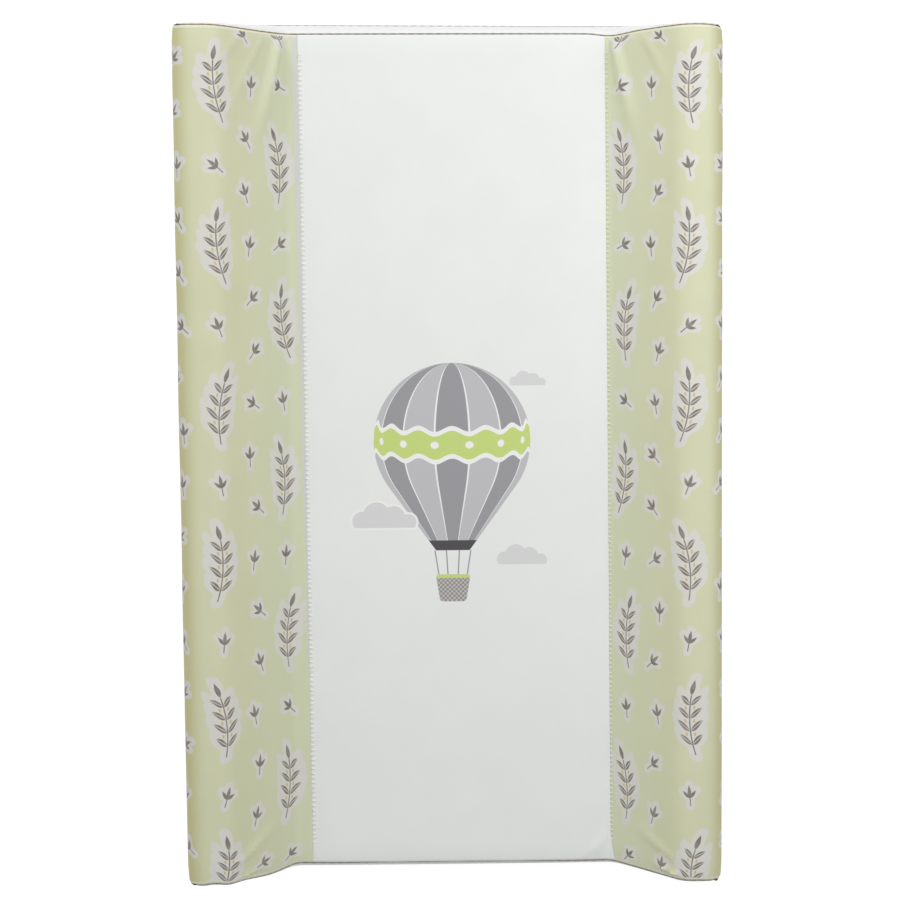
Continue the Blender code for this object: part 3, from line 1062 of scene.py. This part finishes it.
def sprout_at(x, y, chance):
    """A small loose sprout of three leaves, turned its own way. Gives its outline and pale border."""
    x, y = turned_by_chance(x, y, chance, SPROUT_TURN)
    away = abs(x)
    low = y + SPROUT_FOOT
    side_across, side_along = turned(away, low, math.cos(SPROUT_SPREAD), -math.sin(SPROUT_SPREAD))
    side_depth, side_distance = leaf_at(side_along, side_across, *SPROUT_SIDE_LEAF)
    top_depth, top_distance = leaf_at(low, x, *SPROUT_TOP_LEAF)
    stalk, stalk_distance = stem_at(away, y, STALK_FOOT, STALK_TIP, STALK_HALF)
    halo = nearest(side_distance, top_distance, stalk_distance) - SPROUT_HALO
    return nearest(-side_depth, -top_depth, stalk), halo


def sprouts_on(across, up):
    """Sprouts between the sprigs: three to a repeat between the columns, and one above each sprig."""
    x, y, chance, other = repeat_at(across + TILE_WIDTH / 2, up, TILE_WIDTH, TILE_LENGTH / 3)
    ink, halo = sprout_at(x + (other - 0.5) * SPROUT_STRAY, y, chance)
    x, y, chance, _ = repeat_at(across, up + TILE_LENGTH / 2, TILE_WIDTH, TILE_LENGTH)
    other_ink, other_halo = sprout_at(x, y, chance)
    return nearest(ink, other_ink), nearest(halo, other_halo)


def side_finish(name, side, bare_head, bare_foot, shift, stitched):
    """Printed cloth, with painted shade and a painted highlight dyed into it. The print stops short of
    the seam by a strip that narrows along the panel.
    """
    finish, tree, surface = new_finish(name)
    colour = dye(grain_on(tree, surface), GREEN, GREEN_SHADE)
    across, along, _ = split(cut_place(tree))
    # Painted shade towards the seam, over the rolled edge and on the outer wall.
    colour = dye(fade(across, *COOL_PAINTED_SHADE_SPAN), colour, COOL_PAINTED_SHADE)
    colour = dye(fade(across, *WARM_PAINTED_SHADE_SPAN), colour, WARM_PAINTED_SHADE[side])
    colour = dye(fade(across, *WALL_PAINTED_SHADE_SPAN), colour, WALL_PAINTED_SHADE)

    print_across = across + PRINT_SHIFT
    print_up = along + shift
    ink, berry, halo = sprigs_on(print_across, print_up)
    small_ink, small_halo = sprouts_on(print_across, print_up)
    bordered = fade(nearest(halo, small_halo), HALO_EDGE, -HALO_EDGE)
    colour = dye(bordered, colour, HALO)
    worn = fade(speckle(object_place(tree), WORN_SIZE), *WORN_SPAN)
    colour = dye(inside(nearest(ink, small_ink)), colour, dye(worn, INK, INK_LIGHT))
    colour = dye(inside(berry), colour, BERRY)

    # Unprinted strip beside the seam, its grey painted shade of the fold.
    share = calc("POWER", along / (2 * HALF_LENGTH), BARE_CURVE)
    bare_width = share * (bare_head - bare_foot) + bare_foot
    colour = dye(inside(across - bare_width), colour, BARE_EDGE_PAINTED_SHADE)
    # Painted highlight along the rolled ends.
    to_end = HALF_LENGTH - abs(along - HALF_LENGTH)
    colour = dye(fade(to_end, *PAINTED_FOLD_HIGHLIGHT_SPAN), colour, PAINTED_FOLD_HIGHLIGHT)
    if stitched:
        colour = dimpled(surface, colour, across, along)
    colour.feed(surface.inputs["Base Color"])
    return finish


def side_panel(name, side, node, finish):
    cloth, flat = cut_cloth(name, grid_lines(CUT_WIDTH), length_lines)
    along = flat[:, 1] - HALF_LENGTH
    first = np.abs(seam_place(side, along)) + SEAM_SPACE
    place = first + (LINE_END - first) * flat[:, 0] / CUT_WIDTH
    to_seam = place - first
    to_floor = LINE_END - place
    dip = roll(to_seam, SEAM_ROLL) + roll(to_floor, HEM_ROLL)
    place = side * place
    lay(cloth, top_of_cover(place, along, -dip))
    if side < 0:
        cloth.data.flip_normals()
    to_end = HALF_LENGTH - np.abs(along)
    sewn = (to_seam < SEAM_ROLL * SEWN_SHARE) | (to_floor < HEM_ROLL) | (to_end < END_ROLL * SEWN_SHARE)
    to_edge = np.minimum(np.minimum(to_seam, to_floor), to_end)
    rise = raised_cloth(cloth, place, along, sewn, to_edge, SIDE_PRESSURE)
    lay(cloth, top_of_cover(place, along, rise - dip))
    thicken(cloth)
    finish_panel(cloth, node, finish)


left_print = side_finish(
    "green_print_left", -1, bare_head=0.0055, bare_foot=0.0, shift=-0.015, stitched=False
)
side_panel("left_side_cover", -1, "left_side_panel", left_print)
right_print = side_finish(
    "green_print_right", 1, bare_head=-0.001, bare_foot=0.0012, shift=0.134, stitched=True
)
side_panel("right_side_cover", 1, "right_side_panel", right_print)


# End panels
# A white panel closes each end. Its upper edge is cut to the pad's section, a wide U, and it leans
# inwards between the bolsters, where the shorter cut pulls the cover in.

END_SHARES = (0, 0.02, 0.06, 0.14, 0.26, 0.4, 0.55, 0.7, 0.8, 0.87, 0.92, 0.955, 0.98, 1)
END_BULGE = 0.0012
BULGE_REACH = 0.02
BULGE_POWER = 0.5
OUTLINE_STRIDE = 3


def white_finish(name):
    """Plain coated cloth, as on the lying surface but without a picture."""
    finish, tree, surface = new_finish(name)
    dye(grain_on(tree, surface), WHITE, WHITE_SHADE).feed(surface.inputs["Base Color"])
    return finish


def to_outline(x, z):
    """Distance of points on an end from the cover's line."""
    found = np.full(len(x), np.inf)
    for outline_x, outline_z in zip(line_x[::OUTLINE_STRIDE], line_z[::OUTLINE_STRIDE]):
        found = np.minimum(found, np.hypot(np.abs(x) - outline_x, z - outline_z))
    return found


def end_panel(name, end, node, finish):
    sink = SOFT_SINK + END_ROLL
    levels = np.array(END_SHARES) * WALL_TOP
    cloth, flat = cut_cloth(name, grid_lines(2 * WALL_PLACE), levels)
    place = flat[:, 0] - WALL_PLACE
    share = flat[:, 1] / WALL_TOP
    x, z, out_x, out_z, _ = on_line(place)
    top_x = x - out_x * sink
    top_z = z - out_z * sink
    near_wall = np.clip((np.abs(top_x) - CREST_X) / (CREST_INSET - sink), 0, 1)
    end_x = top_x - np.sign(top_x) * (WALL_DRAW * (1 - share) ** 2 * near_wall)
    end_z = COVER_FLOOR + share * (top_z - COVER_FLOOR)
    distance = np.clip(to_outline(end_x, end_z) - sink, 0, None)
    to_floor = end_z - COVER_FLOOR
    away = np.clip(np.minimum(distance, to_floor) / BULGE_REACH, 0, 1)
    swollen = END_BULGE * away**BULGE_POWER
    y = end_reach(end_x, share, end) - roll(distance, END_ROLL) - roll(to_floor, HEM_ROLL) + swollen
    end_x = spread(end_x, end * HALF_LENGTH, share)
    lay(cloth, np.stack([end_x, end * y, end_z], 1))
    if end > 0:
        cloth.data.flip_normals()
    thicken(cloth)
    finish_panel(
        cloth, node, finish,
    )


end_finish = white_finish("white_end_cloth")
end_panel("head_end_cover", 1, "head_end_panel", end_finish)
end_panel("foot_end_cover", -1, "foot_end_panel", end_finish)


# Underside
# A plain white panel of thinner cloth closes the cover from below, and the pad rests on it. It is
# sewn to the lower edges of the side and end panels, with its four corners cut round.

BACK_CORNER = 0.009
BACK_CORNER_STEPS = 8
BACK_SMOOTH_ANGLE = math.radians(40)


def underside():
    low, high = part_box("back_panel")
    bpy.ops.object.select_all(action="DESELECT")
    middle = ((low.x + high.x) / 2, (low.y + high.y) / 2, (low.z + high.z) / 2)
    bpy.ops.mesh.primitive_cube_add(size=1, location=middle)
    cloth = bpy.context.object
    cloth.name = cloth.data.name = "underside_cover"
    cloth.scale = (high.x - low.x, high.y - low.y, high.z - low.z)
    bpy.ops.object.transform_apply(location=True, rotation=False, scale=True)
    bpy.ops.object.mode_set(mode="EDIT")
    bpy.ops.mesh.select_all(action="DESELECT")
    shape = bmesh.from_edit_mesh(cloth.data)
    for edge in shape.edges:
        start, stop = edge.verts
        edge.select = (start.co - stop.co).xy.length < MERGE
    bmesh.update_edit_mesh(cloth.data)
    bpy.ops.mesh.bevel(offset=BACK_CORNER, segments=BACK_CORNER_STEPS, affect="EDGES")
    bpy.ops.object.mode_set(mode="OBJECT")
    bpy.ops.object.shade_smooth_by_angle(angle=BACK_SMOOTH_ANGLE)
    points = vectors_of(cloth.data, "co")
    mark_cut(cloth, points[:, :2] - points[:, :2].min(axis=0))
    points[:, 1] += np.where(points[:, 1] > 0, hem_askew(points[:, 0], 1), 0)
    lay(cloth, points)
    finish_panel(
        cloth, "back_panel", white_finish("white_backing_cloth"),
    )


underside()


# Cross stitches of the long seams
# The white panel is sewn over the edge of each green one with short white stitches that lie square
# across the seam, a little apart. They start and stop a finger's width from the ends.

STITCH_RADIUS = 0.0005
STITCH_SIDES = 6
STITCH_CUTS = (0.12, 0.35, 0.65, 0.88)
STITCH_DIVE = 0.0012
STITCH_RISE = STITCH_RADIUS * 0.6
STITCH_SLANTS = ((0.12, 2.4), (0.1, 0.7))
STITCH_STRETCH = (0.08, 1.7)
STITCH_SMOOTH_ANGLE = math.radians(50)
TWISTS_PER_METRE = 900.0
TWIST_WAVER = 1.0
THREAD_DULL = (0.5, 0.7)
THREAD_SHEEN = 0.2
THREAD_RELIEF = (0.4, 0.0001)


def thread_finish(name, colour, shade):
    """Twisted sewing thread, its colour darker between the twists."""
    finish, tree, surface = new_finish(name)
    feeds = {"Vector": object_place(tree), "Scale": TWISTS_PER_METRE, "Distortion": TWIST_WAVER}
    twist = reading(tree, "TexWave", "Fac", feeds, bands_direction="DIAGONAL")
    dye(twist, (*shade, 1), (*colour, 1)).feed(surface.inputs["Base Color"])
    fade(twist, 0, 1, *THREAD_DULL).feed(surface.inputs["Roughness"])
    surface.inputs["Sheen Weight"].default_value = THREAD_SHEEN
    relief(surface, twist, *THREAD_RELIEF)
    return finish


def one_stitch(length):
    """A short thread that comes up out of one hole, lies flat and goes down into the next."""
    bpy.ops.object.select_all(action="DESELECT")
    bpy.ops.mesh.primitive_cylinder_add(
        vertices=STITCH_SIDES, radius=STITCH_RADIUS, depth=length, rotation=(0, QUARTER, 0)
    )
    stitch = bpy.context.object
    bpy.ops.object.transform_apply(location=True, rotation=True, scale=True)
    bpy.ops.object.mode_set(mode="EDIT")
    for share in STITCH_CUTS:
        bpy.ops.mesh.select_all(action="SELECT")
        bpy.ops.mesh.bisect(plane_co=((share - 0.5) * length, 0, 0), plane_no=(1, 0, 0))
    bpy.ops.object.mode_set(mode="OBJECT")
    for vertex in stitch.data.vertices:
        share = abs(vertex.co.x) / (length / 2)
        vertex.co.z -= STITCH_DIVE * share**3
        vertex.co.z += STITCH_RISE
    return stitch


def finish_thread(thread, finish):
    give_finish(thread, finish)
    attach(thread, "root")


def stitch_row(name, side, length, shift, finish):
    row = one_stitch(length)
    row.name = row.data.name = name
    count = round(2 * (HALF_LENGTH - STITCH_FROM_END) / STITCH_PITCH)
    copies = row.modifiers.new("row", "ARRAY")
    copies.count = count
    copies.use_relative_offset = False
    copies.use_constant_offset = True
    copies.constant_offset_displace = (0, STITCH_PITCH, 0)
    bpy.ops.object.modifier_apply(modifier=copies.name)
    points = vectors_of(row.data, "co")
    number = np.arange(len(points)) // (len(points) // count)
    middle = (number - (count - 1) / 2) * STITCH_PITCH
    x, z, out_x, out_z, _ = on_line(seam_place(side, middle))
    slant = sum(amount * np.sin(number * pace) for amount, pace in STITCH_SLANTS)
    more, pace = STITCH_STRETCH
    across = points[:, 0] * (1 + more * np.sin(number * pace)) + shift
    y = middle + (points[:, 1] - number * STITCH_PITCH) + slant * across
    up = points[:, 2]
    lay(row, np.stack([x + out_z * across + out_x * up, y, z - out_x * across + out_z * up], 1))
    bpy.ops.object.shade_smooth_by_angle(angle=STITCH_SMOOTH_ANGLE)
    finish_thread(row, finish)


white_thread = thread_finish("white_thread", (0.93, 0.93, 0.9), (0.84, 0.84, 0.8))
pale_green_thread = thread_finish("pale_green_thread", (0.82, 0.845, 0.71), (0.74, 0.765, 0.62))
stitch_row("left_seam_stitches", -1, length=0.0048, shift=0.0018, finish=white_thread)
stitch_row("right_seam_stitches", 1, length=0.0034, shift=0.0012, finish=pale_green_thread)


# Thread of the end seams
# A brown-grey thread lies in the groove where the top of the cover meets each end panel, and runs
# down both corners; its brown, gold and near-black tones are partly painted shade of that groove and
# of the corners. A thinner grey one follows the bottom edge all round.

END_THREAD = {1: 0.00048, -1: 0.00032}
THREAD_DROP = {1: 0, -1: 0.0004}
THREAD_OUT = {1: 0.0005, -1: 0.0010}
THREAD_RISE = 0.0005
THREAD_STEP = 0.0021
THREAD_SWELL = 0.22
THREAD_SMOOTH_ANGLE = math.radians(60)
KNOTS = ((1, -1, 0.3), (1, 1, 0.9), (-1, -1, 0.9), (-1, 1, 2.2))
KNOT_PLACE = WALL_PLACE - 0.012
KNOT_REACH = 0.0036
KNOT_LIFT = 0.00025
# Painted shade at the corners: the thread turns near black there.
CORNER_PAINTED_SHADE = (0.07, 0.055, 0.045, 1)
CORNER_SHADE_SPAN = (HALF_WIDTH - 0.0085, HALF_WIDTH - 0.0065)
CORNER_SHADE_LEVELS = (WALL_TOP + 0.004, WALL_TOP + 0.006)
# Spans of the painted groove shade, brown towards the long seams and gold over the side panels.
BROWN_SHADE_SPAN = (SEAM_X - 0.08, SEAM_X - 0.03)
GOLD_SHADE_SPAN = (SEAM_X, SEAM_X + 0.006)
THREAD_SHADE = 0.6
FLOOR_THREAD = 0.00045
FLOOR_THREAD_OUT = 0.0013


def thread_along(name, points, radius, thicker, finish, closed):
    """A sewn thread: a tube that swells and narrows a little with each stitch, and has knots."""
    path = bpy.data.curves.new(name, "CURVE")
    path.dimensions = "3D"
    path.bevel_depth = radius
    path.bevel_resolution = 1
    path.use_fill_caps = not closed
    spline = path.splines.new("POLY")
    spline.points.add(len(points) - 1)
    for index, (target, point, more) in enumerate(zip(spline.points, points, thicker)):
        target.co = (*point, 1)
        target.radius = 1.0 + THREAD_SWELL * math.sin(index * QUARTER) + more
    spline.use_cyclic_u = closed
    thread = bpy.data.objects.new(name, path)
    bpy.context.scene.collection.objects.link(thread)
    pick(thread)
    bpy.ops.object.convert(target="MESH")
    thread = bpy.context.object
    bpy.ops.object.mode_set(mode="EDIT")
    bpy.ops.mesh.select_all(action="SELECT")
    bpy.ops.mesh.remove_doubles(threshold=MERGE)
    bpy.ops.mesh.normals_make_consistent(inside=False)
    bpy.ops.object.mode_set(mode="OBJECT")
    bpy.ops.object.shade_smooth_by_angle(angle=THREAD_SMOOTH_ANGLE)
    finish_thread(thread, finish)


def end_thread(name, end, finish):
    count = round(2 * LINE_END / THREAD_STEP)
    place = np.linspace(-LINE_END, LINE_END, count)
    x, z, out_x, out_z, share = on_line(place)
    knots = np.zeros(count)
    for knot_end, side, size in KNOTS:
        if knot_end == end:
            knots += size * np.clip(1 - np.abs(place - side * KNOT_PLACE) / KNOT_REACH, 0, 1) ** 0.5
    depth = SOFT_SINK + END_ROLL - THREAD_RISE + THREAD_DROP[end] - KNOT_LIFT * knots
    y = end_reach(x, share, end) - END_ROLL + THREAD_OUT[end] + KNOT_LIFT * knots
    x = spread(x, end * HALF_LENGTH, share)
    points = np.stack([x - out_x * depth, end * y, np.maximum(z - out_z * depth, COVER_FLOOR)], 1)
    thread_along(name, points.tolist(), END_THREAD[end], knots, finish, False)


def floor_thread(name, finish):
    _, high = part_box("back_panel")
    reach = BACK_CORNER + FLOOR_THREAD_OUT
    points = []
    for turns, (side_x, side_y) in enumerate(((1, 1), (-1, 1), (-1, -1), (1, -1))):
        centre = Vector((side_x * (high.x - BACK_CORNER), side_y * (high.y - BACK_CORNER)))
        for step in range(BACK_CORNER_STEPS + 1):
            angle = (turns + step / BACK_CORNER_STEPS) * QUARTER
            points.append((centre.x + reach * math.cos(angle), centre.y + reach * math.sin(angle)))
    dense = []
    for start, stop in zip(points, points[1:] + points[:1]):
        count = max(1, round(math.dist(start, stop) / THREAD_STEP))
        for step in range(count):
            x = start[0] + (stop[0] - start[0]) * (step / count)
            y = start[1] + (stop[1] - start[1]) * (step / count)
            dense.append((x, y + (hem_askew(x, 1) if y > 0 else 0), COVER_FLOOR))
    thread_along(name, dense, FLOOR_THREAD, [0] * len(dense), finish, True)


def end_thread_finish(name, middle, brown, gold):
    """The thread is darker near the long seams, golden where it is sewn through the side panels and near
    black at the corners: painted shade of its groove and of the corners.
    """
    finish = thread_finish(name, middle, tuple(value * THREAD_SHADE for value in middle))
    tree = finish.node_tree
    base_colour = tree.nodes["Principled BSDF"].inputs["Base Color"]
    across, _, level = split(object_place(tree))
    away = abs(across)
    colour = Measure(tree, base_colour.links[0].from_socket)
    colour = dye(fade(away, *BROWN_SHADE_SPAN), colour, (*brown, 1))
    colour = dye(fade(away, *GOLD_SHADE_SPAN), colour, (*gold, 1))
    # Painted shade at the corners.
    painted_corner_shade = fade(away, *CORNER_SHADE_SPAN) * fade(level, *CORNER_SHADE_LEVELS)
    dye(painted_corner_shade, colour, CORNER_PAINTED_SHADE).feed(base_colour)
    return finish


# Their dark tones are partly painted shade of the groove the thread lies in.
head_thread = end_thread_finish(
    "brown_thread", (0.28, 0.22, 0.19), (0.26, 0.205, 0.175), (0.33, 0.25, 0.12)
)
foot_thread = end_thread_finish(
    "light_brown_thread", (0.72, 0.68, 0.63), (0.24, 0.19, 0.15), (0.3, 0.26, 0.14)
)
grey_thread = thread_finish("grey_thread", (0.66, 0.65, 0.64), (0.55, 0.54, 0.53))
end_thread("head_seam_thread", 1, head_thread)
end_thread("foot_seam_thread", -1, foot_thread)
floor_thread("bottom_seam_thread", grey_thread)


# Floor, light and camera
# The pad lies on a plain white floor. A soft lamp shines from beyond its head end at the left, and
# a weaker one from the right. The camera looks almost straight down on the pad.

FLOOR_SIZE = 14.0
FLOOR_LEVEL = -0.0002
FLOOR_GREY = (0.56, 0.56, 0.56, 1)
FLOOR_DULL = 0.9
FLOOR_SPECULAR = 0.1
FLOOR_GLOW = 0.72
PURE_WHITE = (1, 1, 1, 1)
ROOM_LIGHT = 0.54
ROOM_SEEN_MORE = 0.46
LAMP_SIZE = 0.8
CAMERA_PLACE = Vector((-0.0414, 0.2605, 2.4672))
CAMERA_TURNS = (6.0075, 0.9428, 0.5727)
CAMERA_LENS = 104.03
CAMERA_SENSOR = 36
CAMERA_SEES_TO = 50


def seen_ray(tree):
    """1 for what the camera sees, directly, in gloss or through glass."""
    path = add_node(tree, "LightPath").outputs
    direct = Measure(tree, path["Is Camera Ray"])
    in_gloss = Measure(tree, path["Is Glossy Ray"])
    return furthest(direct, in_gloss, Measure(tree, path["Is Transmission Ray"]))


def make_floor():
    bpy.ops.object.select_all(action="DESELECT")
    bpy.ops.mesh.primitive_plane_add(size=FLOOR_SIZE, location=(0, 0, FLOOR_LEVEL))
    floor = bpy.context.object
    floor.name = "floor"
    finish, tree, surface = new_finish("white_floor")
    surface.inputs["Base Color"].default_value = FLOOR_GREY
    surface.inputs["Roughness"].default_value = FLOOR_DULL
    surface.inputs["Specular IOR Level"].default_value = FLOOR_SPECULAR
    surface.inputs["Emission Color"].default_value = PURE_WHITE
    (seen_ray(tree) * FLOOR_GLOW).feed(surface.inputs["Emission Strength"])
    give_finish(floor, finish)


def make_world():
    world = bpy.data.worlds.new("studio")
    bpy.context.scene.world = world
    world.use_nodes = True
    tree = world.node_tree
    backdrop = tree.nodes["Background"]
    backdrop.inputs["Color"].default_value = PURE_WHITE
    (seen_ray(tree) * ROOM_SEEN_MORE + ROOM_LIGHT).feed(backdrop.inputs["Strength"])


def add_softbox(name, place, power):
    """A square lamp that faces the middle of the pad and doesn't show itself."""
    light = bpy.data.lights.new(name, "AREA")
    light.shape = "RECTANGLE"
    light.size = light.size_y = LAMP_SIZE
    light.energy = power
    lamp = bpy.data.objects.new(name, light)
    bpy.context.scene.collection.objects.link(lamp)
    lamp.location = place
    lamp.visible_camera = False
    lamp.rotation_euler = (-Vector(place)).to_track_quat("-Z", "Y").to_euler()


def make_camera():
    lens = bpy.data.cameras.new("camera")
    lens.lens = CAMERA_LENS
    lens.sensor_width = CAMERA_SENSOR
    lens.clip_end = CAMERA_SEES_TO
    camera = bpy.data.objects.new("camera", lens)
    bpy.context.scene.collection.objects.link(camera)
    turn = Matrix.Identity(3)
    for angle, axis in zip(CAMERA_TURNS, "XYZ"):
        turn = turn @ Matrix.Rotation(-math.radians(angle), 3, axis)
    camera.matrix_world = Matrix.Translation(CAMERA_PLACE) @ turn.to_4x4()
    bpy.context.scene.camera = camera


make_floor()
make_world()
add_softbox("head_light", (-1.0, 2.0, 1.2), 18.9)
add_softbox("right_light", (0.6, 0.5, 1.0), 4.95)
make_camera()
bpy.context.scene.view_settings.view_transform = "Standard"
